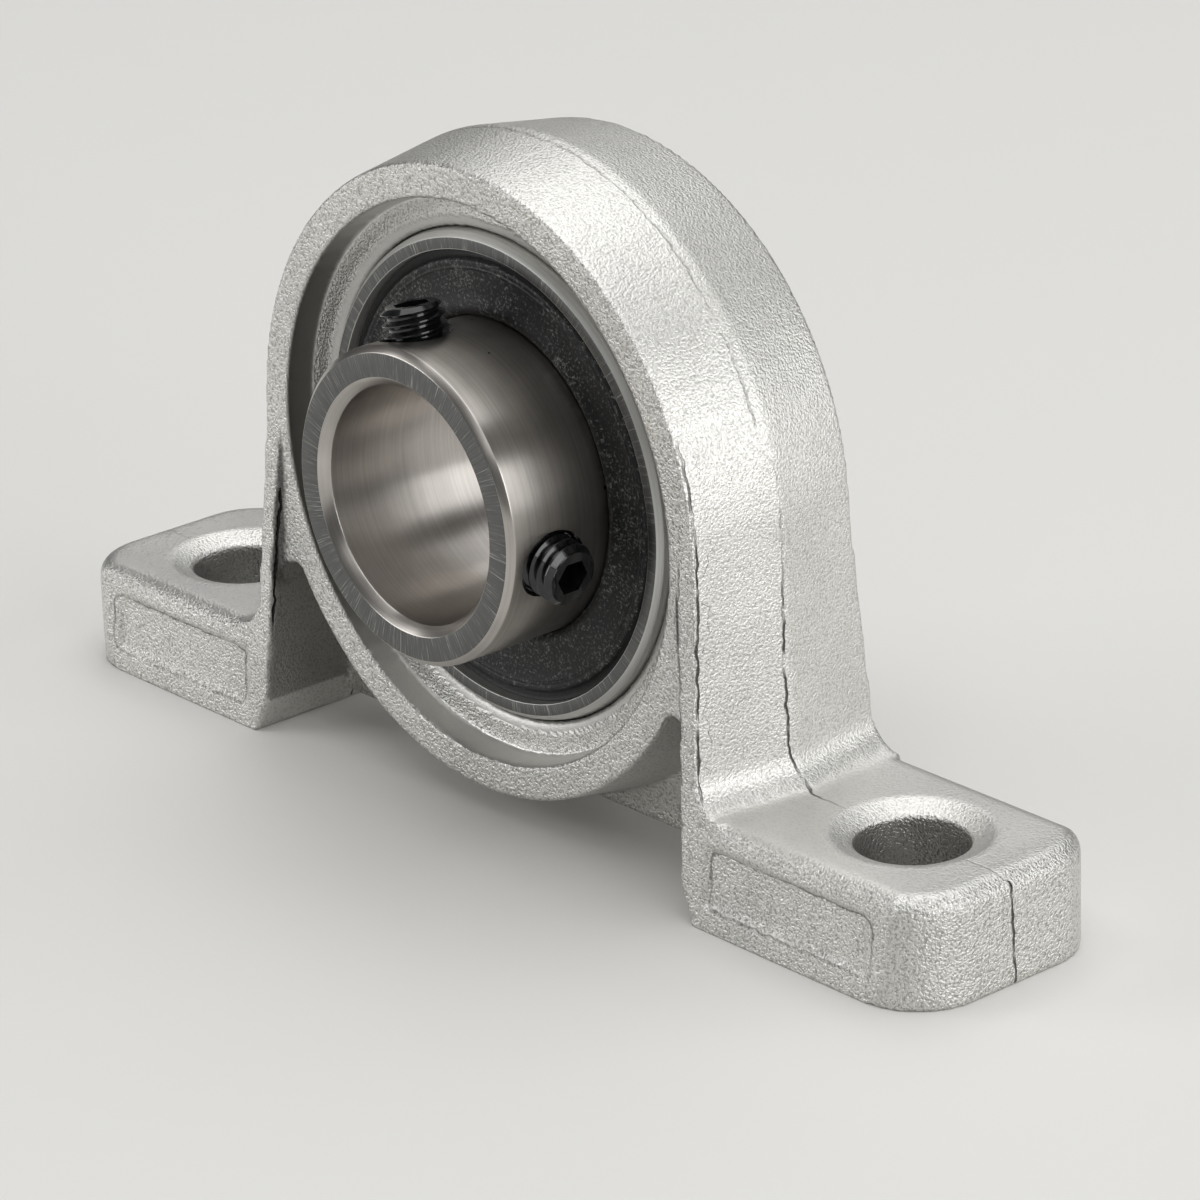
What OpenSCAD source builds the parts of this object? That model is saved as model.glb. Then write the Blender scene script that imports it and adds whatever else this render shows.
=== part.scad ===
// Pillow block bearing: a die-cast housing with a self-aligning ball bearing insert and two set screws.
// The shaft runs along Y, the base lies on Z = 0, and the two bolt holes stand on the X axis.

/* [Base] */
// Length of the base over both feet
base_l = 80; // [77:0.5:92]
// Width of the base at the floor
base_w = 16; // [14.5:0.25:18]
// Thickness of each foot
foot_t = 7; // [6:0.25:9]
// Radius of the upright corners of the feet
foot_corner_r = 4.5; // [3:0.25:6]
// Rounding of the upper edges of the feet
foot_edge_r = 1.2; // [0.6:0.1:1.6]
// Distance between the two bolt holes
bolt_pitch = 63; // [61:0.5:65]
// Diameter of each bolt hole
bolt_hole_d = 7; // [5.5:0.1:8]
// Width of the dished ring round each bolt hole
dish_w = 1.5; // [0.8:0.1:2]
// Depth of the dished ring at the hole
dish_depth = 0.6; // [0.2:0.1:1]
// Length of the sunk panel on the side of each foot
panel_l = 13.8; // [10:0.2:14]
// Height of the sunk panel
panel_h = 3.9; // [2.5:0.1:4]
// Depth of the sunk panel
panel_depth = 0.25; // [0.1:0.05:0.4]

/* [Arch and legs] */
// Height of the bearing's centre above the floor
centre_h = 22; // [21.5:0.25:28]
// Width of the arch from face to face
arch_w = 12.7; // [11.6:0.1:14]
// Width of the flat rim round the bearing, on each face
rim_w = 2.2; // [1.6:0.1:3]
// Casting draft of the arch and legs, each way from the parting plane
draft = 8.5; // [4:0.5:10]
// Lean of the legs away from upright
leg_lean = 3.6; // [1:0.1:6]
// Wall of each leg at the arch's face
leg_wall = 1.5; // [1.2:0.1:2.5]
// Thickness of the web between ring and legs
web_t = 1.8; // [1.2:0.1:3]
// Height at which the pocket between ring and leg starts to close
pocket_top = 10.6; // [9:0.2:13]
// Fillet between leg and foot
leg_fillet_r = 2.2; // [1:0.1:3]
// Width of the relief at the foot of each leg's inner wall
heel_w = 1.1; // [0.5:0.1:1.5]
// Height of that relief
heel_h = 2.3; // [1:0.1:3.5]

/* [Seat] */
// Depth of the recess from the arch's face to the seat's land
recess_depth = 2.05; // [1.6:0.05:2.3]
// Width of the land beside the seat
land_w = 1.8; // [1:0.1:2.2]
// Radial clearance of the insert in its spherical seat
seat_clear = 0.03; // [0.02:0.01:0.08]
// How much wider the seat's mouth is than the insert, on each side
mouth_w = 0.15; // [0.1:0.05:0.25]
// Depth of the widened mouth, from the land to where the seat holds the insert
mouth_depth = 1.6; // [1.2:0.1:2]

/* [Rings] */
// Diameter of the spherical outside of the insert
outer_d = 32; // [31.6:0.1:33]
// Width of the outer ring
outer_w = 9.5; // [9.2:0.1:10.2]
// Diameter of the outer ring's shoulders beside the track
outer_shoulder_d = 27; // [26.6:0.1:27.2]
// Bore for the shaft
bore_d = 15; // [14:0.1:15.6]
// Outside diameter of the inner ring
inner_d = 20; // [19:0.1:22.4]
// Length of the inner ring
inner_l = 16.5; // [15.9:0.1:19]
// Chamfer at the inner ring's outer edges
inner_chamfer = 0.4; // [0.2:0.05:0.5]
// Chamfer at the bore's mouths
bore_chamfer = 0.6; // [0.3:0.05:0.8]
// Chamfer at the outer ring's edges
outer_chamfer = 0.25; // [0.1:0.05:0.4]

/* [Balls and cage] */
// Number of balls
ball_count = 9; // [7:1:9]
// Diameter of each ball
ball_d = 4.762; // [4.6:0.001:4.9]
// Radius of the tracks, as a share of the ball's diameter
track_ratio = 0.52; // [0.51:0.005:0.53]
// Clearance between a ball and each track
track_clear = 0.02; // [0.01:0.01:0.05]
// Clearance between a ball and its cage pocket
pocket_clear = 0.1; // [0.05:0.01:0.15]
// Thickness of the cage's sheet steel
cage_t = 0.4; // [0.3:0.05:0.5]
// Radial width of the cage
cage_w = 1.7; // [1.4:0.1:1.9]
// Diameter of the rivets' shanks
rivet_d = 0.7; // [0.5:0.05:0.8]
// Diameter of the rivets' heads
rivet_head_d = 1.2; // [1:0.05:1.4]
// Height of the rivets' heads
rivet_head_h = 0.3; // [0.2:0.05:0.4]

/* [Seals] */
// Diameter of the seal at its rim
seal_d = 28.6; // [28.4:0.1:29]
// How far the seal lies below the outer ring's face
seal_sink = 0.4; // [0.3:0.05:0.6]
// Thickness of the seal's rubber
rubber_t = 0.6; // [0.5:0.05:0.65]
// Thickness of the steel disc in the seal
disc_t = 0.3; // [0.2:0.05:0.35]
// Clearance between the seal's lip and the inner ring
lip_clear = 0.06; // [0.04:0.01:0.1]
// Clearance of the seal in the outer ring
seal_clear = 0.03; // [0.02:0.01:0.06]

/* [Set screws] */
// Thread diameter of each set screw
screw_d = 4; // [3.5:0.1:4.2]
// Length of each set screw
screw_l = 4; // [3.5:0.1:4.5]
// Distance from the shaft's surface to the screw's tip as supplied
screw_back = 0.3; // [0.2:0.1:0.9]
// Distance from the inner ring's long end to the screws' axes
screw_inset = 3.4; // [2.6:0.1:3.8]
// Angle from the first screw to the second
screw_spread = 113; // [110:1:130]
// Turn of the first screw below the horizontal, as the photograph shows it
screw_turn = 11; // [0:1:20]
// Clearance round each set screw
screw_clear = 0.03; // [0.02:0.01:0.06]
// Size of the hexagon socket across its flats
socket_af = 2; // [1.5:0.1:2.2]
// Depth of the hexagon socket
socket_depth = 2; // [1.4:0.1:2.4]

/* [Hidden] */
$fn = 96;
eps = 0.01;
steel = "silver";
cast_metal = "gainsboro";

outer_r = outer_d / 2;
seat_r = outer_r + seat_clear;
recess_r = outer_r + land_w;
arch_half = arch_w / 2;
base_half = base_w / 2;
seat_half = arch_half - recess_depth;
mouth_r = outer_r + mouth_w;
hold_half = seat_half - mouth_depth;
hold_r = sqrt(seat_r * seat_r - hold_half * hold_half);
draft_rate = tan(draft);
face_r = recess_r + rim_w;
arch_r = face_r + arch_half * draft_rate;
lean_rate = (base_half - arch_half) / centre_h;
web_low = max(centre_h - arch_r, 0);
leg_inner = face_r - leg_wall;
leg_blend = 0.02;
foot_side_x = leg_x(arch_r - leg_blend, foot_t);

outer_half = outer_w / 2;
track_r = track_ratio * ball_d;
pitch_r = (inner_d + outer_shoulder_d) / 4;
ball_r = ball_d / 2;
ball_step = 360 / ball_count;
inner_track_r = pitch_r - ball_r - track_clear + track_r;
outer_track_r = pitch_r + ball_r + track_clear - track_r;
inner_front = outer_half - inner_l;

seal_face = outer_half - seal_sink;
disc_face = seal_face - rubber_t;
seal_back = disc_face - disc_t;
seal_r = seal_d / 2;
lip_r = inner_d / 2 + lip_clear;
shoulder_half = seal_back - seal_clear;
bead_w = 0.6;
lip_w = 0.6;
disc_in_r = lip_r + lip_w + seal_clear;
disc_out_r = seal_r - bead_w - 2 * seal_clear;

pocket_r = ball_r + pocket_clear;
shell_r = pocket_r + cage_t;
rivet_clear = 0.02;
cage_gap = 0.02;

screw_y = inner_front + screw_inset;
screw_tip = bore_d / 2 + screw_back;
screw_chamfer = 0.3;
cup_r = 1;
cup_depth = 0.5;

ball_names = [for (i = [1:ball_count]) str("ball_", i)];

// Half length of a leg's leaning side at height z, for a side that is a given distance from the centre
function leg_x(offset, z) = (offset + (centre_h - z) * sin(leg_lean)) / cos(leg_lean);

// Half width of the ring's face at height z, where the leg's pocket closes
function ring_x(z) = sqrt(max(face_r * face_r - (centre_h - z) * (centre_h - z), 0));

// Turns a shape made round Z so that its axis is the shaft's, with its Z pointing to the rear
module on_shaft() {
    translate([0, 0, centre_h]) rotate([-90, 0, 0]) children();
}

module both_sides() {
    children();
    mirror([1, 0, 0]) children();
}

module both_faces() {
    children();
    mirror([0, 1, 0]) children();
}

// Extrudes an X-Z outline along Y, centred on the parting plane
module across(w) {
    rotate([90, 0, 0]) linear_extrude(w, center = true) children();
}

// Extrudes a Y-Z outline along X, centred
module along(l) {
    rotate([90, 0, 90]) linear_extrude(l, center = true) children();
}

// An upright outline whose sides lean inwards and whose two top corners are round
module leaning_outline(half, lean, h, r) {
    slant = sqrt(1 + lean * lean);
    corner_x = half - lean * (h - r) - r * slant;
    side_x = corner_x + r / slant;
    side_z = h - r + r * lean / slant;
    polygon([[-half, 0], [half, 0], [side_x, side_z], [corner_x, h - r], [corner_x, h],
             [-corner_x, h], [-corner_x, h - r], [-side_x, side_z]]);
    for (s = [-1, 1])
        translate([s * corner_x, h - r]) circle(r);
}

// Half of an outline with upright sides, for turning about its middle
module upright_half(half, h, r) {
    intersection() {
        leaning_outline(half, 0, h, r);
        translate([0, -1]) square([2 * half, h + 2]);
    }
}

// Plate of both feet with upright ends, round upright corners and rounded upper edges
module foot_plate() {
    half_x = base_l / 2 - foot_corner_r;
    half_y = base_half - foot_corner_r;
    along(2 * half_x) leaning_outline(base_half, 0, foot_t, foot_edge_r);
    across(2 * half_y) leaning_outline(base_l / 2, 0, foot_t, foot_edge_r);
    for (turn = [0, 90, 180, 270])
        translate([turn % 270 == 0 ? half_x : -half_x, turn < 180 ? half_y : -half_y, 0]) rotate([0, 0, turn])
            rotate_extrude(angle = 90) upright_half(foot_corner_r, foot_t, foot_edge_r);
}

// The feet: the plate, with its front and rear leaning as the legs' faces do
module feet() {
    intersection() {
        foot_plate();
        along(2 * base_l) leaning_outline(base_half, lean_rate, foot_t, foot_edge_r);
    }
}

// One leg's outer side: a plane on each half that leans outwards from where it meets the arch's cone
module leg_side() {
    side = arch_r - leg_blend;
    narrow = base_w * draft_rate;
    translate([0, 0, centre_h]) rotate([0, -leg_lean, 0]) translate([0, 0, -2 * centre_h])
        linear_extrude(2 * centre_h)
            polygon([[0, -base_w], [side - narrow, -base_w], [side, 0], [side - narrow, base_w], [0, base_w]]);
}

// Section of the legs across X: wide at the floor, as wide as the arch from the centre height upwards
module leg_section() {
    low = base_half - leg_blend;
    top = centre_h + arch_half;
    polygon([[-low, 0], [low, 0], [arch_half, centre_h], [arch_half, top],
             [-arch_half, top], [-arch_half, centre_h]]);
}

module leg_block() {
    both_sides() intersection() {
        leg_side();
        along(2 * base_l) leg_section();
    }
}

// Fillet in the corner of leg and foot, which follows the draft on each half
module leg_fillet() {
    r = leg_fillet_r;
    sunk = 0.6;
    centre_x = foot_side_x + r * (1 - sin(leg_lean)) / cos(leg_lean);
    low_x = centre_x - r * cos(leg_lean);
    low_z = r - r * sin(leg_lean);
    both_faces() intersection() {
        along(2 * base_l) leg_section();
        translate([0, -base_w, 0]) cube([base_l, base_w, centre_h]);
        translate([foot_side_x, 0, foot_t]) rotate([0, 0, -draft]) translate([0, 1, 0]) rotate([90, 0, 0])
            linear_extrude(base_w) translate([-foot_side_x, 0]) difference() {
                polygon([[foot_side_x - sunk, -sunk], [centre_x, -sunk], [centre_x, 0],
                         [low_x, low_z], [low_x - sunk, low_z]]);
                translate([centre_x, r]) circle(r);
            }
    }
}

// Double cone of the arch: widest on the parting plane, narrower towards each face
module arch_cone() {
    on_shaft() rotate_extrude()
        polygon([[0, -arch_half], [face_r, -arch_half], [arch_r, 0], [face_r, arch_half], [0, arch_half]]);
}

// Space between the legs: leaning sides, a relief at the floor, and a round notch where it meets the ring
module between_legs() {
    notch_x = (ring_x(pocket_top) + leg_x(leg_inner, pocket_top)) / 2;
    notch_r = (leg_x(leg_inner, pocket_top) - ring_x(pocket_top)) / 2;
    half = [[leg_x(leg_inner, pocket_top), pocket_top], [leg_x(leg_inner, heel_h), heel_h],
            [leg_x(leg_inner, heel_h) + heel_w, 0], [leg_x(leg_inner, heel_h) + heel_w, -1]];
    polygon(concat(half, [for (i = [3:-1:0]) [-half[i][0], half[i][1]]]));
    for (s = [-1, 1])
        translate([s * notch_x, pocket_top]) circle(notch_r);
}

// Outline inside the legs' strips, up to the height where the strips run into the ring's face
module inside_strips() {
    low = leg_x(leg_inner, heel_h);
    high = leg_x(leg_inner, centre_h + 1);
    polygon([[-low, heel_h], [low, heel_h], [high, centre_h + 1], [-high, centre_h + 1]]);
}

// Thin web on the parting plane that joins the ring to both legs
module web() {
    low_x = leg_x(leg_inner + heel_w, web_low);
    high_x = leg_x(leg_inner + heel_w, centre_h);
    across(web_t) polygon([[-low_x, web_low], [low_x, web_low], [high_x, centre_h], [-high_x, centre_h]]);
}

// Sunk panel on the front side of a foot
module foot_panel() {
    panel_x = base_l / 2 - foot_corner_r - panel_l / 2;
    translate([panel_x, -base_half, 0]) rotate([-atan(lean_rate), 0, 0])
        translate([-panel_l / 2, panel_depth - 1, (foot_t - panel_h) / 2]) cube([panel_l, 1, panel_h]);
}

module bolt_hole() {
    r = bolt_hole_d / 2;
    translate([bolt_pitch / 2, 0, 0]) {
        translate([0, 0, -1]) cylinder(h = foot_t + 2, r = r);
        translate([0, 0, foot_t - dish_depth])
            cylinder(h = 2 * dish_depth, r1 = r, r2 = r + 2 * dish_w);
    }
}

// Spherical seat with a widened mouth on each face, through which the insert is pressed in, and the recesses
module seat_space() {
    widening = (mouth_r - hold_r) / mouth_depth;
    half = [[hold_r - widening, hold_half - 1], [mouth_r, seat_half], [recess_r - 0.1, seat_half],
            [recess_r, arch_half + eps], [0, arch_half + eps]];
    on_shaft() rotate_extrude() {
        intersection() {
            circle(seat_r);
            translate([0, -seat_half]) square([seat_r, 2 * seat_half]);
        }
        polygon(concat(half, [for (i = [4:-1:0]) [half[i][0], -half[i][1]]]));
    }
}

module housing() {
    color(cast_metal) difference() {
        intersection() {
            union() {
                difference() {
                    union() {
                        leg_block();
                        feet();
                        both_sides() leg_fillet();
                    }
                    across(2 * base_w) between_legs();
                    both_faces() translate([0, -arch_half - base_half, 0]) across(2 * base_half) inside_strips();
                }
                arch_cone();
                web();
            }
            translate([-base_l, -base_w, 0]) cube([2 * base_l, 2 * base_w, centre_h + 2 * arch_r]);
        }
        seat_space();
        both_sides() bolt_hole();
        both_sides() foot_panel();
    }
}

module outer_ring() {
    color(steel) on_shaft() rotate_extrude() difference() {
        intersection() {
            circle(outer_r);
            translate([outer_shoulder_d / 2, -outer_half]) square([outer_r, outer_w]);
            outer_ring_edges();
        }
        translate([outer_track_r, 0]) circle(track_r);
        for (s = [-1, 1]) {
            translate([0, s > 0 ? shoulder_half : -outer_half - eps])
                square([seal_r, outer_half - shoulder_half + eps]);
        }
    }
}

// Cuts the sharp edges where the outer ring's faces meet its spherical outside
module outer_ring_edges() {
    edge_r = sqrt(outer_r * outer_r - outer_half * outer_half);
    c = outer_chamfer;
    polygon([[0, -outer_half], [edge_r - c, -outer_half], [edge_r + 2 * c, -outer_half + 2 * c],
             [outer_r, -outer_half + 2 * c], [outer_r, outer_half - 2 * c],
             [edge_r + 2 * c, outer_half - 2 * c], [edge_r - c, outer_half], [0, outer_half]]);
}

// Axis frame of a set screw: Z points outwards through the screw, from the shaft's axis
module on_screw(angle) {
    translate([0, screw_y, centre_h]) rotate([0, 90 - angle, 0]) children();
}

module inner_ring() {
    r = inner_d / 2;
    b = bore_d / 2;
    c = inner_chamfer;
    e = bore_chamfer;
    color(steel) difference() {
        on_shaft() rotate_extrude() difference() {
            polygon([[b, inner_front + e], [b + e, inner_front], [r - c, inner_front], [r, inner_front + c],
                     [r, outer_half - c], [r - c, outer_half], [b + e, outer_half], [b, outer_half - e]]);
            translate([inner_track_r, 0]) circle(track_r);
        }
        for (angle = [-screw_turn, screw_spread - screw_turn])
            on_screw(angle) cylinder(h = inner_d, r = screw_d / 2 + screw_clear);
    }
}

module ball(i) {
    color(steel) on_shaft() rotate([0, 0, i * ball_step]) translate([pitch_r, 0, 0]) sphere(ball_r);
}

// Front half of the ribbon cage: flat lands between half shells that wrap the balls
module cage_half() {
    difference() {
        intersection() {
            rotate_extrude() translate([pitch_r - cage_w / 2, cage_gap / 2]) square([cage_w, shell_r]);
            union() {
                cylinder(h = cage_gap / 2 + cage_t, r = pitch_r + cage_w);
                for (i = [0:ball_count - 1])
                    rotate([0, 0, i * ball_step]) translate([pitch_r, 0, 0]) sphere(shell_r);
            }
        }
        for (i = [0:ball_count - 1]) {
            rotate([0, 0, i * ball_step]) translate([pitch_r, 0, 0]) sphere(pocket_r);
            rotate([0, 0, (i + 0.5) * ball_step]) translate([pitch_r, 0, -eps])
                cylinder(h = shell_r, r = rivet_d / 2 + rivet_clear);
        }
    }
}

module cage_front() {
    color(steel) on_shaft() mirror([0, 0, 1]) cage_half();
}

module cage_rear() {
    color(steel) on_shaft() cage_half();
}

module cage_rivets() {
    grip = cage_gap / 2 + cage_t + rivet_clear;
    color("darkgray") on_shaft() for (i = [0:ball_count - 1])
        rotate([0, 0, (i + 0.5) * ball_step]) translate([pitch_r, 0, 0]) {
            cylinder(h = 2 * grip, r = rivet_d / 2, center = true);
            for (s = [-1, 1])
                translate([0, 0, s * (grip + rivet_head_h / 2)])
                    cylinder(h = rivet_head_h, r = rivet_head_d / 2, center = true);
        }
}

// Rubber of a seal in section: a bead in the outer ring, a thin wall over the disc, and a lip at the inner ring
module seal_section() {
    out_r = seal_r - seal_clear;
    groove_w = 0.4;
    groove_depth = 0.2;
    polygon([[lip_r, seal_back], [lip_r + lip_w, seal_back], [lip_r + lip_w, disc_face + eps],
             [out_r - bead_w, disc_face + eps], [out_r - bead_w, seal_back], [out_r, seal_back],
             [out_r, seal_face], [out_r - bead_w, seal_face], [out_r - bead_w, seal_face - groove_depth],
             [out_r - bead_w - groove_w, seal_face - groove_depth], [out_r - bead_w - groove_w, seal_face - eps],
             [lip_r + 2 * lip_w, seal_face - eps], [lip_r, seal_face - groove_depth]]);
}

module seal() {
    on_shaft() rotate_extrude() seal_section();
}

module seal_insert() {
    on_shaft() rotate_extrude() translate([disc_in_r, seal_back])
        square([disc_out_r - disc_in_r, disc_t]);
}

module front_seal() {
    color([0.1, 0.1, 0.1]) mirror([0, 1, 0]) seal();
}

module front_seal_insert() {
    color("slategray") mirror([0, 1, 0]) seal_insert();
}

module rear_seal() {
    color([0.1, 0.1, 0.1]) seal();
}

module rear_seal_insert() {
    color("slategray") seal_insert();
}

// A set screw with chamfered ends, a cup point at its tip and a hexagon socket at its head
module set_screw(angle) {
    r = screw_d / 2;
    c = screw_chamfer;
    color([0.15, 0.15, 0.15]) on_screw(angle) translate([0, 0, screw_tip]) difference() {
        rotate_extrude()
            polygon([[0, 0], [r - 2 * c, 0], [r, 2 * c], [r, screw_l - c], [r - c, screw_l], [0, screw_l]]);
        translate([0, 0, -eps]) cylinder(h = cup_depth, r1 = cup_r, r2 = 0);
        translate([0, 0, screw_l - socket_depth])
            cylinder(h = socket_depth + eps, r = socket_af / 2 / cos(30), $fn = 6);
    }
}

module set_screw_a() {
    set_screw(-screw_turn);
}

module set_screw_b() {
    set_screw(screw_spread - screw_turn);
}

housing();
outer_ring();
inner_ring();
for (i = [0:ball_count - 1])
    ball(i);
cage_front();
cage_rear();
cage_rivets();
front_seal();
front_seal_insert();
rear_seal();
rear_seal_insert();
set_screw_a();
set_screw_b();
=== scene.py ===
import math

import bpy
from mathutils import Matrix, Vector, noise


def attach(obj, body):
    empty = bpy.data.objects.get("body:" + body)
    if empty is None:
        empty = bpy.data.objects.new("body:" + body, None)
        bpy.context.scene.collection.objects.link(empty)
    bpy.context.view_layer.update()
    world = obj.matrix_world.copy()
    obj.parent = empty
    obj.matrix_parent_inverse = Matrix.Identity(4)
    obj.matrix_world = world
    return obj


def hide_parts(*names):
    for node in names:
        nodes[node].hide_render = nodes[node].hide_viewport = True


mm = 0.001
axle = 22 * mm  # height of the shaft's axis above the floor

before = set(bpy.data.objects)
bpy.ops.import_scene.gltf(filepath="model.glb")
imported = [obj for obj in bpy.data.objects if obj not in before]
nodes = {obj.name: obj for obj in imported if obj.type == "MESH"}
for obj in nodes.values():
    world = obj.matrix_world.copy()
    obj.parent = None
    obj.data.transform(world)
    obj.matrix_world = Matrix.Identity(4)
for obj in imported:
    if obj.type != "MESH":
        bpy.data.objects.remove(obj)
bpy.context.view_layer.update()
print("frame loaded:", len(nodes), "nodes")


def linearColour(hexText):
    channels = [int(hexText[i:i + 2], 16) / 255 for i in (1, 3, 5)]
    return tuple(c / 12.92 if c <= 0.04045 else ((c + 0.055) / 1.055) ** 2.4 for c in channels) + (1.0,)


def select(*pieces):
    bpy.ops.object.select_all(action="DESELECT")
    for piece in pieces:
        piece.select_set(True)
    bpy.context.view_layer.objects.active = pieces[0]


def paint(piece, *materials):
    piece.data.materials.clear()
    for material in materials:
        piece.data.materials.append(material)


def modify(piece, kind, **settings):
    select(piece)
    step = piece.modifiers.new(kind.lower(), kind)
    for name, value in settings.items():
        setattr(step, name, value)
    bpy.ops.object.modifier_apply(modifier=step.name)


def bevel(piece, width, degrees, segments=2):
    modify(piece, "BEVEL", width=width, segments=segments, limit_method="ANGLE",
           angle_limit=math.radians(degrees))


def shadeSmooth(piece, degrees):
    select(piece)
    bpy.ops.object.shade_smooth_by_angle(angle=math.radians(degrees))


def weld(threshold=0.0005 * mm):
    bpy.ops.mesh.select_all(action="SELECT")
    bpy.ops.mesh.remove_doubles(threshold=threshold)


def cutWith(piece, tool, operation="DIFFERENCE"):
    modify(piece, "BOOLEAN", object=tool, operation=operation, solver="EXACT")
    bpy.data.objects.remove(tool, do_unlink=True)


def standFor(piece, node, body):
    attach(piece, body)
    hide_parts(node)


camera = {"azimuth": 49.249, "elevation": 21.855, "roll": -1.893, "distance": 346.62 * mm,
          "target": (0.81 * mm, 3.0 * mm, 12.03 * mm), "lens": 167.25, "sensor": 36, "nearest": 0.01}


def makeCamera():
    az, el, roll = (math.radians(camera[k]) for k in ("azimuth", "elevation", "roll"))
    back = Vector((math.sin(az) * math.cos(el), -math.cos(az) * math.cos(el), math.sin(el)))
    right = Vector((math.cos(az), math.sin(az), 0))
    up = back.cross(right)
    rolledRight = right * math.cos(roll) + up * math.sin(roll)
    rolledUp = up * math.cos(roll) - right * math.sin(roll)
    bpy.ops.object.camera_add()
    cam = bpy.context.object
    turn = Matrix((rolledRight, rolledUp, back)).transposed()
    cam.matrix_world = Matrix.Translation(Vector(camera["target"]) + back * camera["distance"]) @ turn.to_4x4()
    cam.data.sensor_width = camera["sensor"]
    cam.data.lens = camera["lens"]
    cam.data.clip_start = camera["nearest"]
    bpy.context.scene.camera = cam


makeCamera()
print("camera placed")


def addNode(tree, kind, inputs=None, stops=(), **settings):
    # sockets are linked, anything else is set as the input's value; stops are a colour ramp's
    node = tree.nodes.new(kind)
    for name, value in settings.items():
        setattr(node, name, value)
    for key, value in (inputs or {}).items():
        if isinstance(value, bpy.types.NodeSocket):
            tree.links.new(value, node.inputs[key])
        else:
            node.inputs[key].default_value = value
    for i, (position, hexText) in enumerate(stops):
        stop = node.color_ramp.elements[i] if i < 2 else node.color_ramp.elements.new(position)
        stop.position = position
        stop.color = linearColour(hexText)
    return node


def newMaterial(name, metallic, roughness):
    material = bpy.data.materials.new(name)
    material.use_nodes = True
    tree = material.node_tree
    shader = tree.nodes["Principled BSDF"]
    shader.inputs["Metallic"].default_value = metallic
    shader.inputs["Roughness"].default_value = roughness
    place = tree.nodes.new("ShaderNodeTexCoord").outputs["Object"]
    return material, tree, shader, place


def fromShaft(tree, place):
    # the arm from the shaft's axis, square to it, and the arm's length
    arm = addNode(tree, "ShaderNodeVectorMath", {0: place, 1: (0, 0, axle)}, operation="SUBTRACT").outputs[0]
    flat = addNode(tree, "ShaderNodeVectorMath", {0: arm, 1: (1, 0, 1)}, operation="MULTIPLY").outputs[0]
    return flat, addNode(tree, "ShaderNodeVectorMath", {0: flat}, operation="LENGTH").outputs["Value"]


marks = ("polish", "paintedShade", "grain", "crackAndShadowLine", "crackAndShadowLineDepth")  # what is known of each point of the casting


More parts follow.
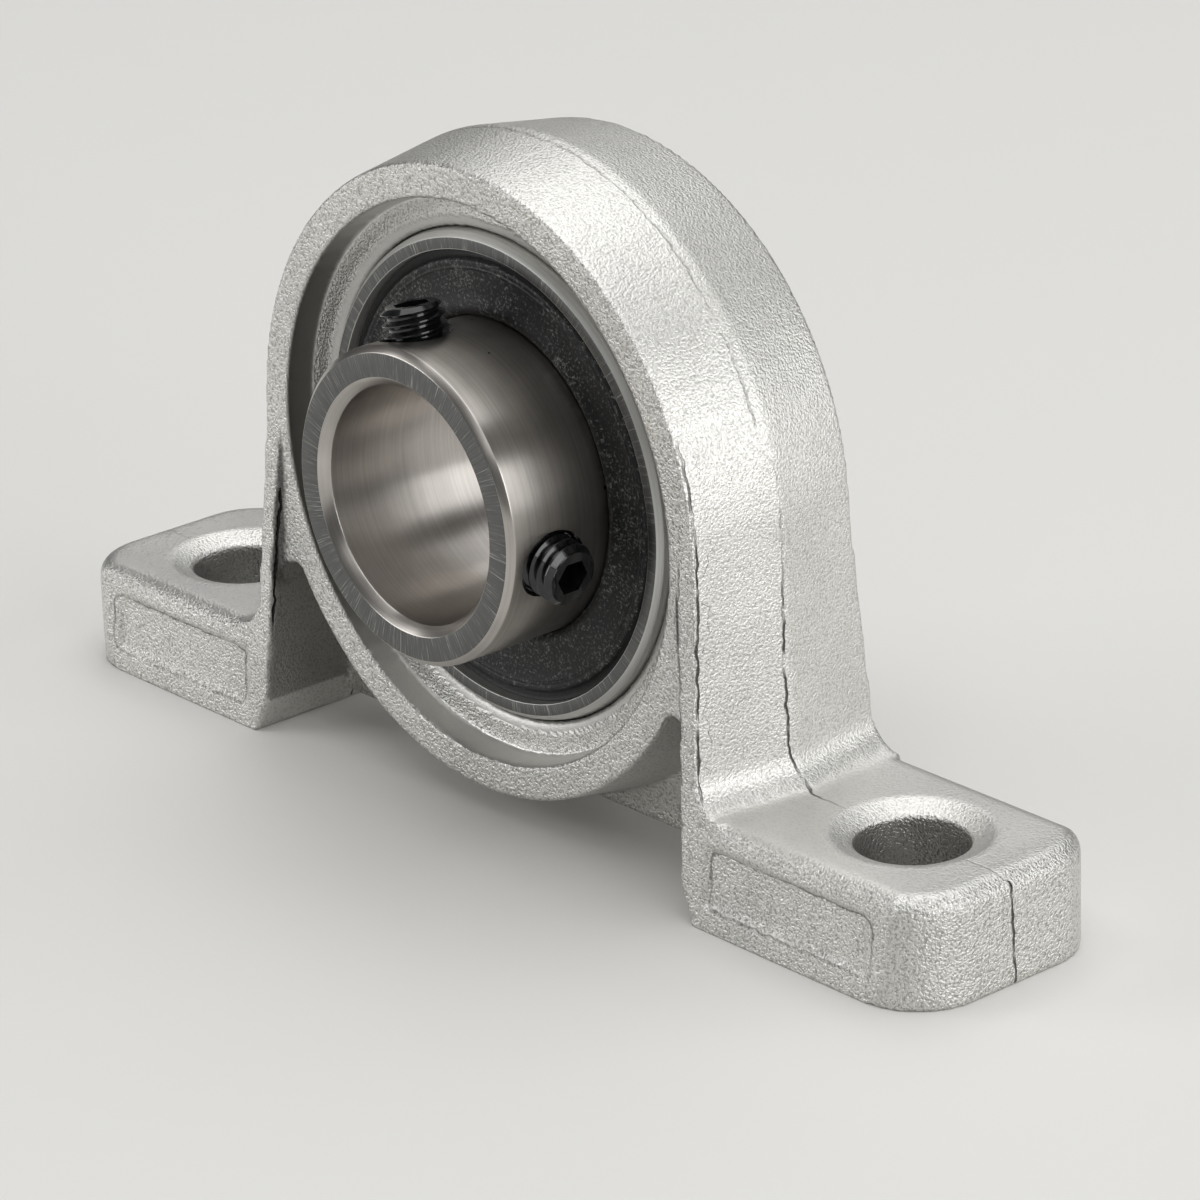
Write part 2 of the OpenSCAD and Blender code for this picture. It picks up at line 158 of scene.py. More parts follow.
def zincMaterial():
    # zinc alloy, die cast and bead blasted: pale silver-grey that sparkles from small dimples
    material, tree, shader, place = newMaterial("castZinc", 1.0, 0.43)
    polish, paintedShade, grain, crackAndShadowLine, crackAndShadowLineDepth = (
        addNode(tree, "ShaderNodeAttribute", attribute_name=name).outputs["Fac"] for name in marks)
    # blasting leaves dimples of 0.15 to 0.3 mm, worn off where the casting is polished
    dimples = addNode(tree, "ShaderNodeTexNoise", {"Vector": place, "Scale": 1 / (0.165 * mm), "Detail": 1.0,
                                                   "Roughness": 0.55}).outputs["Fac"]
    smoothed = addNode(tree, "ShaderNodeMapRange", {"Value": polish, "To Min": 1.0, "To Max": 0.12}).outputs[0]
    blasted = addNode(tree, "ShaderNodeMath", {0: smoothed, 1: grain}, operation="MULTIPLY").outputs[0]
    height = addNode(tree, "ShaderNodeMath", {0: dimples, 1: blasted}, operation="MULTIPLY").outputs[0]
    # the parting line wanders and breaks up
    wander = addNode(tree, "ShaderNodeTexNoise", {"Vector": place, "Scale": 1 / (0.9 * mm), "Detail": 3.0})
    shifted = addNode(tree, "ShaderNodeMath", {0: wander.outputs["Fac"], 1: 0.5, 2: crackAndShadowLine},
                      operation="MULTIPLY_ADD").outputs[0]
    centred = addNode(tree, "ShaderNodeMath", {0: shifted, 1: 0.25}, operation="SUBTRACT").outputs[0]
    away = addNode(tree, "ShaderNodeMath", {0: centred}, operation="ABSOLUTE").outputs[0]
    line = addNode(tree, "ShaderNodeMapRange", {"Value": away, "From Min": 0.12, "From Max": 0.03},
                   interpolation_type="SMOOTHSTEP").outputs[0]
    breaks = addNode(tree, "ShaderNodeTexNoise", {"Vector": place, "Scale": 1 / (2.2 * mm), "Detail": 2.0})
    broken = addNode(tree, "ShaderNodeMapRange", {"Value": breaks.outputs["Fac"], "From Min": 0.36,
                                                  "From Max": 0.5, "To Min": 0.2}).outputs[0]
    depth = addNode(tree, "ShaderNodeMath", {0: crackAndShadowLineDepth, 1: broken}, operation="MULTIPLY").outputs[0]
    seamAndShadowLine = addNode(tree, "ShaderNodeMath", {0: line, 1: depth}, operation="MULTIPLY").outputs[0]
    cut = addNode(tree, "ShaderNodeMath", {0: seamAndShadowLine, 1: -1.2, 2: height}, operation="MULTIPLY_ADD").outputs[0]
    bump = addNode(tree, "ShaderNodeBump", {"Height": cut, "Strength": 1.0, "Distance": 0.11 * mm})
    broad = addNode(tree, "ShaderNodeTexNoise", {"Vector": place, "Scale": 1 / (7 * mm), "Detail": 3.0})
    metal = addNode(tree, "ShaderNodeValToRGB", {"Fac": broad.outputs["Fac"]},
                    ((0.35, "#D5D4D1"), (0.68, "#DFDEDA"))).outputs["Color"]
    # painted shade: the dimples' low points are darker, more so where the casting is blasted
    dimpleShade = addNode(tree, "ShaderNodeValToRGB", {"Fac": dimples},
                   ((0.32, "#CDCCC9"), (0.5, "#FFFFFF"))).outputs["Color"]
    blastedDimpleShade = addNode(tree, "ShaderNodeMix", {0: blasted, 6: (1, 1, 1, 1), 7: dimpleShade}, data_type="RGBA").outputs[2]
    toned = addNode(tree, "ShaderNodeMix", {0: 1.0, 6: metal, 7: blastedDimpleShade}, data_type="RGBA",
                    blend_type="MULTIPLY").outputs[2]
    # the zinc is darkened by painted shade and along its lines, one of which is a painted shadow line
    linesAndPaintedShade = addNode(tree, "ShaderNodeMath", {0: seamAndShadowLine, 1: 0.9, 2: paintedShade}, operation="MULTIPLY_ADD",
                   use_clamp=True).outputs[0]
    colour = addNode(tree, "ShaderNodeMix", {0: linesAndPaintedShade, 6: toned, 7: linearColour("#2E2B29")},
                     data_type="RGBA").outputs[2]
    tree.links.new(colour, shader.inputs["Base Color"])
    tree.links.new(bump.outputs["Normal"], shader.inputs["Normal"])
    return material


def groundSteelMaterial(name, dark, light, roughness, anisotropy):
    # bearing steel, cylindrically ground: satin grey, in fine lines round the shaft's axis
    material, tree, shader, place = newMaterial(name, 1.0, roughness)
    # the lines run round the axis, so they spread a reflection along it
    shader.inputs["Anisotropic"].default_value = anisotropy
    shader.inputs["Anisotropic Rotation"].default_value = 0.25
    around = addNode(tree, "ShaderNodeTangent", direction_type="RADIAL", axis="Y")
    tree.links.new(around.outputs["Tangent"], shader.inputs["Tangent"])
    # the wheel leaves lines far under 0.1 mm; drawn 0.15 mm apart so that they show
    drawnOut = addNode(tree, "ShaderNodeMapping", {"Vector": place, "Scale": (70, 1 / (0.15 * mm), 70)})
    lines = addNode(tree, "ShaderNodeTexNoise", {"Vector": drawnOut.outputs["Vector"], "Scale": 1.0,
                                                 "Detail": 3.0, "Roughness": 0.6}).outputs["Fac"]
    # one cell in five holds a dark speck, up to a quarter of a mm across
    cells = addNode(tree, "ShaderNodeTexVoronoi", {"Vector": place, "Scale": 1 / (1.1 * mm)})
    chosen = addNode(tree, "ShaderNodeSeparateXYZ", {0: cells.outputs["Color"]}).outputs[0]
    size = addNode(tree, "ShaderNodeMapRange", {"Value": chosen, "From Min": 0.8, "From Max": 1.0,
                                                "To Max": 0.11}).outputs[0]
    speck = addNode(tree, "ShaderNodeMath", {0: cells.outputs["Distance"], 1: size},
                    operation="LESS_THAN").outputs[0]
    broad = addNode(tree, "ShaderNodeTexNoise", {"Vector": place, "Scale": 1 / (4 * mm), "Detail": 3.0})
    steel = addNode(tree, "ShaderNodeValToRGB", {"Fac": broad.outputs["Fac"]},
                    ((0.3, dark), (0.7, light))).outputs["Color"]
    streaks = addNode(tree, "ShaderNodeValToRGB", {"Fac": lines},
                      ((0.25, "#E9E8E7"), (0.62, "#FFFFFF"))).outputs["Color"]
    toned = addNode(tree, "ShaderNodeMix", {0: 1.0, 6: steel, 7: streaks}, data_type="RGBA",
                    blend_type="MULTIPLY").outputs[2]
    colour = addNode(tree, "ShaderNodeMix", {0: speck, 6: toned, 7: linearColour("#1F1B19")},
                     data_type="RGBA").outputs[2]
    bump = addNode(tree, "ShaderNodeBump", {"Height": lines, "Strength": 1.0, "Distance": 0.0025 * mm})
    tree.links.new(colour, shader.inputs["Base Color"])
    tree.links.new(bump.outputs["Normal"], shader.inputs["Normal"])
    return material


def facedSteelMaterial():
    # the same steel where its ends are ground flat: mid grey with many radial scratches
    material, tree, shader, place = newMaterial("facedSteel", 1.0, 0.4)
    flat, radius = fromShaft(tree, place)
    turn = addNode(tree, "ShaderNodeVectorMath", {0: flat}, operation="NORMALIZE").outputs[0]
    outward = addNode(tree, "ShaderNodeCombineXYZ", {1: radius}).outputs[0]
    # a scratch is about 0.1 mm wide and some 3 mm long, so the pattern is drawn out along the radius
    perRadian, perMetre = 105, 330
    stretched = addNode(tree, "ShaderNodeVectorMath", {0: outward, 1: (0, perMetre, 0)},
                        operation="MULTIPLY").outputs[0]
    spot = addNode(tree, "ShaderNodeVectorMath", {0: turn, 1: (perRadian,) * 3, 2: stretched},
                   operation="MULTIPLY_ADD").outputs[0]
    scratches = addNode(tree, "ShaderNodeTexNoise", {"Vector": spot, "Scale": 1.0, "Detail": 3.0,
                                                     "Roughness": 0.7}).outputs["Fac"]
    colour = addNode(tree, "ShaderNodeValToRGB", {"Fac": scratches},
                     ((0.3, "#5A5A59"), (0.58, "#696968"), (0.74, "#B4B4B2"))).outputs["Color"]
    bump = addNode(tree, "ShaderNodeBump", {"Height": scratches, "Strength": 1.0, "Distance": 0.012 * mm})
    tree.links.new(colour, shader.inputs["Base Color"])
    tree.links.new(bump.outputs["Normal"], shader.inputs["Normal"])
    return material


def rubberMaterial():
    # nitrile rubber, moulded on its disc: black with a dull sheen, dusted with pale grit
    material, tree, shader, place = newMaterial("nitrileRubber", 0.0, 0.5)
    shader.inputs["Specular IOR Level"].default_value = 0.35
    skin = addNode(tree, "ShaderNodeTexNoise", {"Vector": place, "Scale": 1 / (0.3 * mm), "Detail": 3.0})
    dust = addNode(tree, "ShaderNodeTexNoise", {"Vector": place, "Scale": 1 / (0.22 * mm), "Detail": 5.0,
                                                "Roughness": 0.75}).outputs["Fac"]
    # the grit lies in patches
    patches = addNode(tree, "ShaderNodeTexNoise", {"Vector": place, "Scale": 1 / (2.5 * mm), "Detail": 2.0})
    dusted = addNode(tree, "ShaderNodeMath", {0: patches.outputs["Fac"], 1: 0.2, 2: dust},
                     operation="MULTIPLY_ADD").outputs[0]
    # the groove beside the outer ring stays clean and black
    flat, radius = fromShaft(tree, place)
    clear = addNode(tree, "ShaderNodeMapRange", {"Value": radius, "From Min": 13.75 * mm,
                                                 "From Max": 13.6 * mm}).outputs[0]
    shown = addNode(tree, "ShaderNodeMath", {0: dusted, 1: clear}, operation="MULTIPLY").outputs[0]
    colour = addNode(tree, "ShaderNodeValToRGB", {"Fac": shown},
                     ((0.63, "#111213"), (0.82, "#8A8B88"))).outputs["Color"]
    bump = addNode(tree, "ShaderNodeBump", {"Height": skin.outputs["Fac"], "Strength": 1.0,
                                            "Distance": 0.03 * mm})
    tree.links.new(colour, shader.inputs["Base Color"])
    tree.links.new(bump.outputs["Normal"], shader.inputs["Normal"])
    return material


def blackOxideMaterial():
    # alloy steel, black oxide and oil: nearly black with sharp highlights; also put into the ring's screw holes
    # as painted shade
    material, tree, shader, place = newMaterial("blackOxideAndHoleShade", 0.5, 0.2)
    shader.inputs["Coat Weight"].default_value = 0.7
    shader.inputs["Coat Roughness"].default_value = 0.05
    oil = addNode(tree, "ShaderNodeTexNoise", {"Vector": place, "Scale": 1 / (0.5 * mm),
                                               "Detail": 3.0}).outputs["Fac"]
    colour = addNode(tree, "ShaderNodeValToRGB", {"Fac": oil}, ((0.35, "#101112"), (0.7, "#232426")))
    bump = addNode(tree, "ShaderNodeBump", {"Height": oil, "Strength": 1.0, "Distance": 0.02 * mm})
    tree.links.new(colour.outputs["Color"], shader.inputs["Base Color"])
    tree.links.new(bump.outputs["Normal"], shader.inputs["Normal"])
    return material


def ballSteelMaterial():
    # chrome steel balls, lapped to a mirror, under a film of grease
    material, tree, shader, place = newMaterial("lappedBallSteel", 1.0, 0.08)
    film = addNode(tree, "ShaderNodeTexNoise", {"Vector": place, "Scale": 1 / (1.5 * mm),
                                                "Detail": 2.0}).outputs["Fac"]
    colour = addNode(tree, "ShaderNodeValToRGB", {"Fac": film}, ((0.35, "#BDBEC0"), (0.7, "#CFCFCE")))
    tree.links.new(colour.outputs["Color"], shader.inputs["Base Color"])
    return material


def pressedSteelMaterial():
    # mild steel strip, cold pressed: pale and slightly mottled where the die drew it
    material, tree, shader, place = newMaterial("pressedSteel", 1.0, 0.35)
    drawn = addNode(tree, "ShaderNodeTexNoise", {"Vector": place, "Scale": 1 / (0.8 * mm),
                                                 "Detail": 4.0}).outputs["Fac"]
    colour = addNode(tree, "ShaderNodeValToRGB", {"Fac": drawn}, ((0.3, "#9B978F"), (0.7, "#B8B4AB")))
    bump = addNode(tree, "ShaderNodeBump", {"Height": drawn, "Strength": 0.5, "Distance": 0.02 * mm})
    tree.links.new(colour.outputs["Color"], shader.inputs["Base Color"])
    tree.links.new(bump.outputs["Normal"], shader.inputs["Normal"])
    return material


finish = {"zinc": zincMaterial(), "rubber": rubberMaterial(), "black": blackOxideMaterial(),
          "ground": groundSteelMaterial("groundSteel", "#AFABA6", "#C3BEB9", 0.29, 0.6),
          # painted light: the outer ring gets a paler copy of the ground steel, which lightens the shaded wedge
          # between ring and seat
          "litOuterGround": groundSteelMaterial("litGroundOuterSteel", "#CFCFCC", "#D8D8D5", 0.5, 0.0),
          "faced": facedSteelMaterial(), "ball": ballSteelMaterial(), "pressed": pressedSteelMaterial()}
kinds = {"housing": "zinc", "outer_ring": "litOuterGround", "inner_ring": "ground", "front_seal": "rubber",
         "rear_seal": "rubber", "set_screw_a": "black", "set_screw_b": "black"}
for name, node in nodes.items():
    paint(node, finish[kinds.get(name, "ball" if name.startswith("ball_") else "pressed")])
print("materials on the frame")


def drawOutline(points, drop=0):
    # joins points in mm with edges, all lowered by drop, from a plane merged into one vertex
    # and leaves the piece in edit mode
    bpy.ops.object.select_all(action="DESELECT")
    bpy.ops.mesh.primitive_plane_add(size=2 * mm)
    piece = bpy.context.object
    bpy.ops.object.mode_set(mode="EDIT")
    bpy.ops.mesh.select_all(action="SELECT")
    bpy.ops.mesh.merge(type="CENTER")
    x, y, z = points[0]
    bpy.ops.transform.translate(value=(x * mm, y * mm, (z - drop) * mm))
    for start, end in zip(points, points[1:]):
        step = tuple((b - a) * mm for a, b in zip(start, end))
        bpy.ops.mesh.extrude_region_move(TRANSFORM_OT_translate={"value": step})
    return piece


def turned(name, outline):
    # spins a closed outline of (radius, y) in mm about the shaft's axis
    piece = drawOutline([(r, y, axle / mm) for r, y in outline + outline[:1]])
    piece.name = name
    weld()
    bpy.ops.mesh.spin(steps=168, angle=2 * math.pi, center=(0, 0, axle), axis=(0, 1, 0))
    weld()
    bpy.ops.mesh.normals_make_consistent(inside=False)
    bpy.ops.object.mode_set(mode="OBJECT")
    return piece


def arc(centreR, radius, yStart, yEnd, outer, count=9):
    # points of a track or sphere from one y to another, on the arc's outer or inner side
    points = []
    for i in range(count):
        y = yStart + (yEnd - yStart) * i / (count - 1)
        reach = math.sqrt(radius * radius - y * y)
        points.append((centreR + reach if outer else centreR - reach, y))
    return points


castHousing = {"voxel": 0.21 * mm, "smoothing": 3, "triangles": 190000,
               "faceHalf": 6.35, "lean": 0.075,  # the legs' faces lean out this much per mm below the shaft
               "holeX": 31.5, "holeR": 3.7, "footX": 20, "footTop": 6.4,
               # the pockets lie outside the ring's radius, the recess and the seat within the recess's
               "ringR": 18.6, "recessR": 18.4, "mouthR": 16.3, "mouthY": 3.6,
               "legX": 19.8,  # the legs' inner sides lie nearer the middle than this
               # the seat's edge, pressed down to the outer ring: radius and y, and a sphere just off the ring's
               "lip": [(16.35, -2.65), (16.35, -4.2), (16.15, -4.26), (15.58, -4.12)], "lipSphere": 16.07,
               # bare raised panel on each foot's front
               "panelX": 29.1, "panelZ": 3.3, "panelHalf": (6.9, 1.85), "panelCorner": 0.5,
               # where the parting line runs up the legs: height and y, and out along the feet: x and y
               "legLine": ((0, -0.1), (3, -0.22), (6, -0.4), (7.5, -0.2), (10, -0.6), (15, -0.52), (18.7, -0.32),
                           (21, -0.13), (25.4, -0.03), (27, -0.05), (27.9, -0.68), (30, -0.75), (50, -0.5)),
               "footLine": ((20, 0.5), (22.4, -0.06), (23.7, -0.45), (30, -0.5), (50, -0.8)),
               "edgeLine": 0.28}  # the line along the legs' front edges lies this far behind their face


def along(path, at):
    for (a, b), (c, d) in zip(path, path[1:]):
        if at <= c:
            return b + (d - b) * (at - a) / (c - a)
    return path[-1][1]


def ease(value, low, high):
    t = min(max((value - low) / (high - low), 0), 1)
    return t * t * (3 - 2 * t)


def surfaceMarks(x, y, z, n):
    # how polished and grainy the casting is at a point in mm, with its normal, and how much painted shade
    # darkens it
    h = castHousing
    up = z - axle / mm
    r, out = math.hypot(x, up), abs(x)
    toHole = math.hypot(out - h["holeX"], y)
    inward = -n.x if x > 0 else n.x
    polish, paintedShade = 0.0, 0.0
    grain = 0.65 + 0.65 * max(ease(-n.y, 0.5, 0.9), ease(out, 37, 39))  # rougher front and foot ends
    if out > 21 and z > 5.5:
        crumbled = n.z + 0.12 * noise.noise(Vector((x, y, z)) / 0.6)  # the flat's border is uneven
        polish = ease(crumbled, 0.8, 0.95) * ease(z, h["footTop"] - 0.5, h["footTop"]) * (1 - ease(z, 7.4, 8.2))
        polish *= 0.1 + 0.6 * ease(toHole, 4.2, 5.8)
    if r < h["recessR"]:
        polish = max(polish, ease(-(n.x * x + n.z * up) / max(r, 1), 0.4, 0.8))
        # painted shade: the recess's side walls are darkened
        paintedShade = 0.75 * polish * ease(abs(n.x), 0.45, 0.85) * ease(r, 16.8, 17.4)
    if r < h["mouthR"] and abs(y) > h["mouthY"]:
        polish, paintedShade = 1.0, 0.3  # the pressed edge of the seat is smooth, and painted shade darkens it
    if inward > 0.6 and out < h["legX"] and r > h["ringR"] and z < 27:
        paintedShade = 0.5 * (1 - ease(z, 24, 27))  # painted shade darkens the legs' inner sides
    if inward > 0.1 and 17.5 < out < h["legX"] and r > h["ringR"] and abs(y) > 6.2 and z < 23:
        # painted shadow also darkens the step between leg and ring
        paintedShade = max(paintedShade, 0.8 * ease(inward, 0.1, 0.4) * ease(z, 8.5, 11))
    if out > 25 and toHole < h["holeR"]:
        paintedShade = 0.35 * ease(0.6 - abs(n.z), 0, 0.3)  # painted shade darkens the holes inside
    return polish, paintedShade, grain


def lineMarks(x, y, z, n):
    # how far the nearest dark line is in mm, and how deep it is there: the casting's lines, and a painted shadow
    # line by the right leg
    h = castHousing
    r, out = math.hypot(x, z - axle / mm), abs(x)
    toHole = math.hypot(out - h["holeX"], y)
    behindFace = h["faceHalf"] + h["lean"] * max(axle / mm - z, 0) + y
    away, depth = 9.0, 0.0
    # the parting line: over the arch, down the legs' and feet's ends, and along the feet's tops
    if z > 20 and r > 20 and abs(n.y) < 0.7:
        away, depth = y - along(h["legLine"], z), 0.25
    elif out > 18 and abs(n.x) > 0.7:
        away, depth = y - along(h["legLine"], z), 1 - 0.75 * ease(z, 17, 22) if toHole > 4.5 else 0.0
    elif out > 20.5 and n.z > 0.7 and z < 9 and toHole > 5:
        away, depth = y - along(h["footLine"], out), 0.85 - 0.7 * ease(out, 23.5, 26)
    # the legs' front edges
    edge = behindFace - h["edgeLine"]
    if out > 18 and abs(n.x) > 0.5 and 7 < z < 32 and abs(edge) < min(abs(away), 1.2):
        away, depth = edge, (1 - 0.8 * ease(z, 25, 31)) * ease(z, 7, 8.5)
    # the panel's outline on each foot, and a painted shadow line where the right leg's inner front edge stands
    # proud of the ring's face
    if out > h["footX"] and n.y < -0.7 and z < 6.5 and y < -7:
        corner = h["panelCorner"]
        dx = abs(out - h["panelX"]) - h["panelHalf"][0] + corner
        dz = abs(z - h["panelZ"]) - h["panelHalf"][1] + corner
        away = math.hypot(max(dx, 0), max(dz, 0)) + min(max(dx, dz), 0) - corner
        depth = 0.35 + 0.25 * ease(z, 2, 4)
    elif x > 18 and n.y < -0.7 and 7 < z < 26:
        away, depth = out - 18.62 - 0.03 * abs(z - 16), 0.4 * ease(z, 7, 9) * (1 - ease(z, 22, 26))
    return away, depth * (1 - ease(abs(away), 0.7, 1.1))


def markHousing(piece):
    mesh = piece.data
    points = [(v.co.x / mm, v.co.y / mm, v.co.z / mm, v.normal) for v in mesh.vertices]
    rows = [surfaceMarks(*point) + lineMarks(*point) for point in points]
    for name, values in zip(marks, zip(*rows)):
        mesh.attributes.new(name, "FLOAT", "POINT").data.foreach_set("value", values)


def makeHousing():
    piece = bpy.data.objects.new("castHousing", nodes["housing"].data.copy())
    bpy.context.scene.collection.objects.link(piece)
    select(piece)
    bpy.ops.object.mode_set(mode="EDIT")
    weld(0.001 * mm)
    bpy.ops.object.mode_set(mode="OBJECT")
    lip = castHousing["lip"]
    section = lip + arc(0, castHousing["lipSphere"], -4.1, lip[0][1], True)
    lips = [turned("pressedLip", [(r, side * y) for r, y in section]) for side in (-1, 1)]
    select(piece, *lips)
    bpy.ops.object.join()
    modify(piece, "REMESH", mode="VOXEL", voxel_size=castHousing["voxel"])
    modify(piece, "SMOOTH", factor=0.5, iterations=castHousing["smoothing"])
    triangles = 2 * len(piece.data.polygons)
    modify(piece, "DECIMATE", ratio=min(1, castHousing["triangles"] / triangles))
    select(piece)
    bpy.ops.object.shade_smooth()
    markHousing(piece)
    paint(piece, finish["zinc"])
    standFor(piece, "housing", "housing")
    print("housing:", triangles, "triangles remeshed,", len(piece.data.polygons), "kept")


makeHousing()


screws = {"y": -8.35, "tip": 7.8, "length": 4.0, "across": 2.0, "socketDepth": 2.0, "chamfer": 0.34 * mm,
          "angles": {"set_screw_a": -11, "set_screw_b": 102},
          # one turn of the thread: root and crest, its pitch, and where along it the flanks start and end
          "root": 1.62, "crest": 1.97, "pitch": 0.7, "flanks": (0.12, 0.46, 0.58, 0.92), "turns": 8,
          # the hole in the ring and its widened mouth, and how far out their middles are
          "hole": {"radius": 2.03 * mm, "depth": 6 * mm}, "holeOut": 9,
          "mouth": {"radius1": 1.9 * mm, "radius2": 3.0 * mm, "depth": 1.1 * mm}, "mouthOut": 10.05 * mm,
          "cup": (1.2, 0.6, 0.29)}  # hollow in the tip: radius, depth and the middle's height
innerRing = {"bore": 7.5, "outside": 10.0, "front": -11.75, "rear": 4.75, "boreChamfer": 0.6, "chamfer": 0.4,
             "trackCentre": 11.825, "trackR": 2.476, "trackHalf": 1.673, "edge": 0.05 * mm}
outerRing = {"sphere": 16.0, "half": 4.75, "faceR": 15.03, "edgeY": 4.395, "sealR": 14.3, "sealY": 3.42,
             "shoulderR": 13.5, "trackCentre": 11.675, "trackR": 2.476, "trackHalf": 1.673, "edge": 0.04 * mm}


def cutScrewHole(piece, degrees):
    # drills the thread's hole and widens its mouth with a cone, and paints both inside with the black steel as
    # painted shade
    s = screws
    angle = math.radians(degrees)
    middle, direction = Vector((0, s["y"] * mm, axle)), Vector((math.cos(angle), 0, math.sin(angle)))
    turn = (0, math.pi / 2 - angle, 0)
    bpy.ops.object.select_all(action="DESELECT")
    bpy.ops.mesh.primitive_cylinder_add(vertices=64, location=middle + direction * s["holeOut"] * mm,
                                        rotation=turn, **s["hole"])
    drill = bpy.context.object
    bpy.ops.object.select_all(action="DESELECT")
    bpy.ops.mesh.primitive_cone_add(vertices=64, location=middle + direction * s["mouthOut"], rotation=turn,
                                    **s["mouth"])
    for tool in (drill, bpy.context.object):
        paint(tool, finish["ground"], finish["faced"], finish["black"])
        for face in tool.data.polygons:
            face.material_index = 2
        cutWith(piece, tool)


def splitFinish(piece, ground):
    # flat ends get the faced steel, everything round gets the ground steel
    paint(piece, finish[ground], finish["faced"], finish["black"])
    for face in piece.data.polygons:
        if abs(face.normal.y) > 0.95:
            face.material_index = 1


def makeInnerRing():
    d = innerRing
    b, r, y0, y1 = d["bore"], d["outside"], d["front"], d["rear"]
    outline = [(b, y0 + d["boreChamfer"]), (b + d["boreChamfer"], y0), (r - d["chamfer"], y0),
               (r, y0 + d["chamfer"])]
    outline += arc(d["trackCentre"], d["trackR"], -d["trackHalf"], d["trackHalf"], False)
    outline += [(r, y1 - d["chamfer"]), (r - d["chamfer"], y1), (b + d["boreChamfer"], y1),
                (b, y1 - d["boreChamfer"])]
    piece = turned("groundInnerRing", outline)
    bevel(piece, d["edge"], 20)
    splitFinish(piece, "ground")
    for degrees in screws["angles"].values():
        cutScrewHole(piece, degrees)
    shadeSmooth(piece, 28)
    standFor(piece, "inner_ring", "inner_ring")
    print("inner ring:", len(piece.data.polygons), "faces")


def makeOuterRing():
    d = outerRing
    half = d["half"]
    outline = [(d["sealR"], -half), (d["faceR"], -half)]
    outline += arc(0, d["sphere"], -d["edgeY"], d["edgeY"], True, 25)
    outline += [(d["faceR"], half), (d["sealR"], half), (d["sealR"], d["sealY"]), (d["shoulderR"], d["sealY"])]
    outline += arc(d["trackCentre"], d["trackR"], d["trackHalf"], -d["trackHalf"], True)
    outline += [(d["shoulderR"], -d["sealY"]), (d["sealR"], -d["sealY"])]
    piece = turned("groundOuterRing", outline)
    bevel(piece, d["edge"], 25)
    splitFinish(piece, "litOuterGround")
    shadeSmooth(piece, 28)
    standFor(piece, "outer_ring", "insert")
    print("outer ring:", len(piece.data.polygons), "faces")


makeInnerRing()
makeOuterRing()


seal = {"lip": 10.06, "rim": 14.27, "face": 4.35, "back": 3.45, "disc": 3.76, "grip": 0.6, "edge": 0.05 * mm,
        # from the rim to the lip: radius, and how far behind the face
        "profile": ((14.27, 0.34), (14.15, 0.44), (13.85, 0.44), (13.67, 0.3), (13.57, 0.06), (13.47, 0),
                    (13.27, 0.02), (13.19, 0.08), (13.11, 0.02), (13.03, 0.02), (12.95, 0.1), (12.4, 0.14),
                    (11.6, 0.16), (11.1, 0.12), (10.8, 0.02), (10.55, 0.02), (10.3, 0.12), (10.06, 0.3))}


def makeSeals():
    s = seal
    innerGrip, outerGrip = s["lip"] + s["grip"], s["rim"] - s["grip"]
    outline = [(s["lip"], s["back"]), (innerGrip, s["back"]), (innerGrip, s["disc"]), (outerGrip, s["disc"]),
               (outerGrip, s["back"]), (s["rim"], s["back"])]
    outline += [(r, s["face"] - drop) for r, drop in s["profile"]]
    for node, name, side in (("front_seal", "frontSealRubber", -1), ("rear_seal", "rearSealRubber", 1)):
        piece = turned(name, [(r, side * y) for r, y in outline])
        bevel(piece, s["edge"], 40)
        shadeSmooth(piece, 50)
        paint(piece, finish["rubber"])
        standFor(piece, node, "insert")
    print("seals turned")


makeSeals()


def makeScrewBlank():
    # one thread turn is drawn as an outline and wound up, then cut to length between chamfers
    s = screws
    pitch, root, crest = s["pitch"], s["root"], s["crest"]
    radii = (root, root, crest, crest, root, root)
    heights = (0,) + s["flanks"] + (1,)
    piece = drawOutline([(r, 0, pitch * z) for r, z in zip(radii, heights)], pitch)
    bpy.ops.object.mode_set(mode="OBJECT")
    modify(piece, "SCREW", axis="Z", angle=2 * math.pi, screw_offset=pitch * mm, iterations=s["turns"],
           steps=56, render_steps=56, use_merge_vertices=True, merge_threshold=0.0005 * mm)
    select(piece)
    bpy.ops.object.mode_set(mode="EDIT")
    weld()
    bpy.ops.mesh.fill_holes(sides=0)
    bpy.ops.mesh.select_all(action="SELECT")
    bpy.ops.mesh.normals_make_consistent(inside=False)
    bpy.ops.object.mode_set(mode="OBJECT")
    bpy.ops.object.select_all(action="DESELECT")
    bpy.ops.mesh.primitive_cylinder_add(vertices=72, radius=crest * mm + 0.02 * mm, depth=s["length"] * mm,
                                        location=(0, 0, s["length"] / 2 * mm))
    blank = bpy.context.object
    bevel(blank, s["chamfer"], 60, 1)
    cutWith(piece, blank, "INTERSECT")
    bpy.ops.object.select_all(action="DESELECT")
    bpy.ops.mesh.primitive_cylinder_add(vertices=6, radius=s["across"] / 2 / math.cos(math.pi / 6) * mm,
                                        depth=s["socketDepth"] * 2 * mm, location=(0, 0, s["length"] * mm))
    cutWith(piece, bpy.context.object)
    cupR, cupDepth, cupZ = s["cup"]
    bpy.ops.object.select_all(action="DESELECT")
    bpy.ops.mesh.primitive_cone_add(vertices=48, radius1=cupR * mm, radius2=0, depth=cupDepth * mm,
                                    location=(0, 0, cupZ * mm))
    cutWith(piece, bpy.context.object)
    return piece


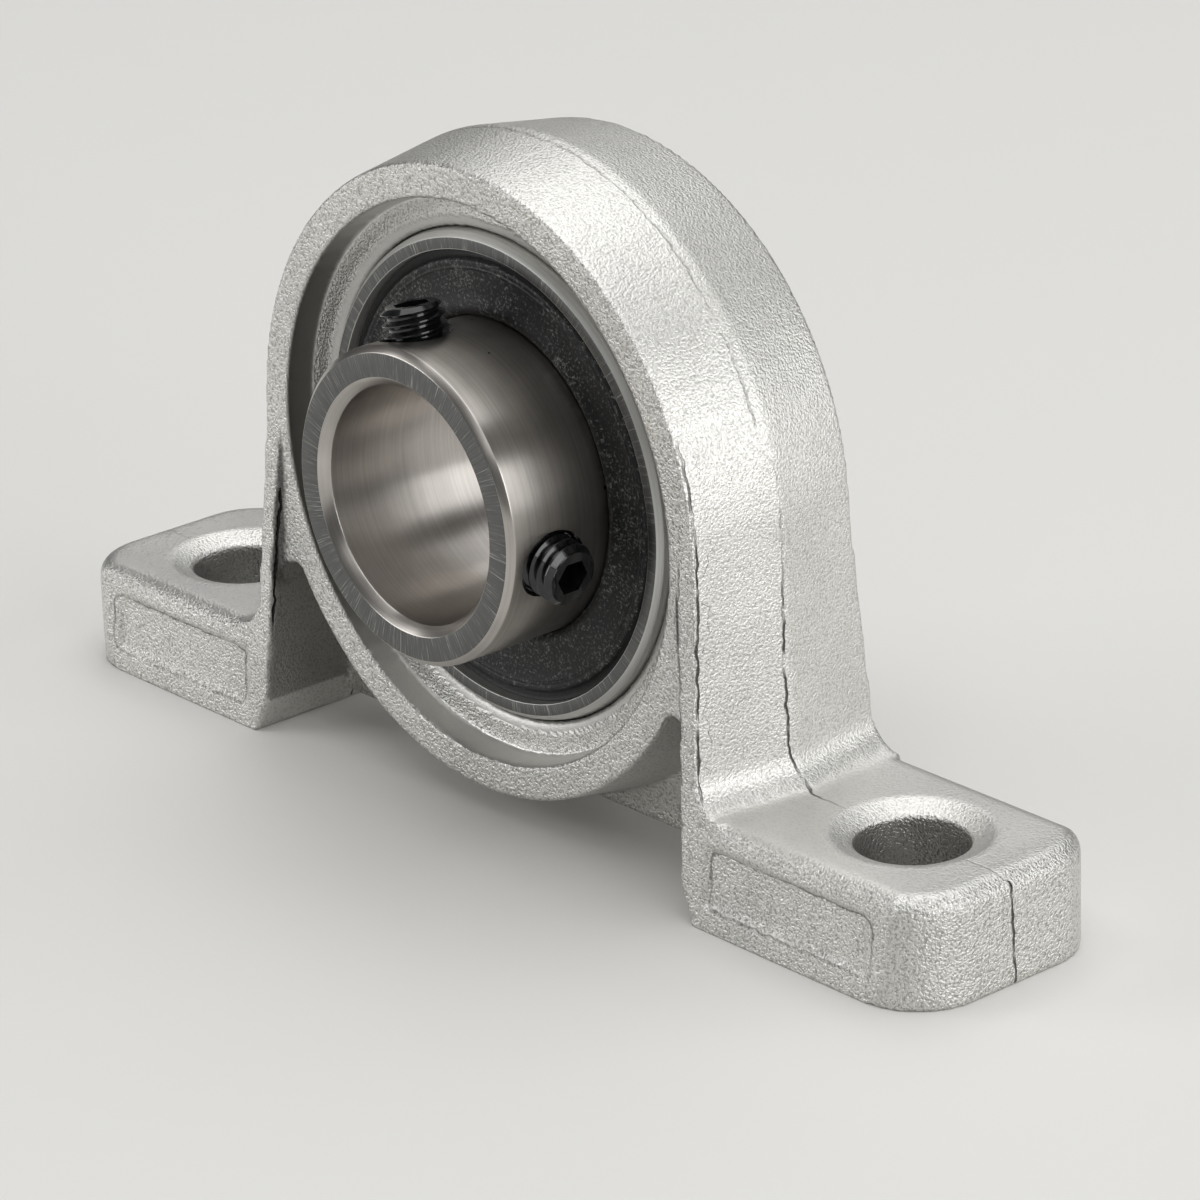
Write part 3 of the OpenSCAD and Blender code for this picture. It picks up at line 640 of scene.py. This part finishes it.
def makeSetScrews():
    blank = makeScrewBlank()
    for node, degrees in screws["angles"].items():
        piece = bpy.data.objects.new("threadedScrew" + node[-1].upper(), blank.data.copy())
        bpy.context.scene.collection.objects.link(piece)
        angle, reach = math.radians(degrees), screws["tip"] * mm
        piece.location = (math.cos(angle) * reach, screws["y"] * mm, axle + math.sin(angle) * reach)
        piece.rotation_euler = (0, math.pi / 2 - angle, 0)
        select(piece)
        bpy.ops.object.transform_apply(location=True, rotation=True, scale=True)
        shadeSmooth(piece, 35)
        paint(piece, finish["black"])
        standFor(piece, node, node)
        print(piece.name, len(piece.data.polygons), "faces")
    bpy.data.objects.remove(blank, do_unlink=True)


makeSetScrews()


studio = {"floor": "#DEDDDA", "air": 0.07, "distance": 0.9, "aim": (0, 0, 0.02), "clearance": 0.03,
          # each lamp's bearing from +X and height in degrees, its watts, and its width and height
          "lamps": {"side": (0, 12, 3.4, 0.65, 0.5), "sideRear": (45, 12, 2.0, 0.65, 0.5),
                    "frontLeft": (225, 12, 2.5, 0.5, 0.5), "rear": (90, 45, 0.7, 0.5, 0.5),
                    "rearLeft": (135, 45, 0.95, 0.5, 0.5), "front": (315, 45, 0.95, 0.5, 0.5),
                    "top": (0, 90, 5.6, 1.0, 1.0)}}


def makeLamp(name, bearing, height, watts, wide, high):
    az, el = math.radians(bearing), math.radians(height)
    spot = Vector((math.cos(az) * math.cos(el), math.sin(az) * math.cos(el), math.sin(el))) * studio["distance"]
    spot.z = max(spot.z, high / 2 + studio["clearance"])  # a low lamp still stands clear of the floor
    bpy.ops.object.light_add(type="AREA", location=spot)
    lamp = bpy.context.object
    lamp.name = name + "Lamp"
    lamp.data.shape = "RECTANGLE"
    lamp.data.size = wide
    lamp.data.size_y = high
    lamp.data.energy = watts
    lamp.rotation_euler = (Vector(studio["aim"]) - spot).to_track_quat("-Z", "Y").to_euler()


def makeStudio():
    bpy.ops.mesh.primitive_plane_add(size=6, location=(0, 0, 0))
    floor = bpy.context.object
    floor.name = "studioFloor"
    material, _, shader, _ = newMaterial("paleFloor", 0.0, 0.7)
    shader.inputs["Base Color"].default_value = linearColour(studio["floor"])
    paint(floor, material)
    for name, settings in studio["lamps"].items():
        makeLamp(name, *settings)
    world = bpy.data.worlds.new("studioAir")
    bpy.context.scene.world = world
    world.use_nodes = True
    air = world.node_tree.nodes["Background"]
    air.inputs["Color"].default_value = (1, 1, 1, 1)
    air.inputs["Strength"].default_value = studio["air"]
    bpy.context.scene.view_settings.view_transform = "Standard"


makeStudio()
print("studio lit")
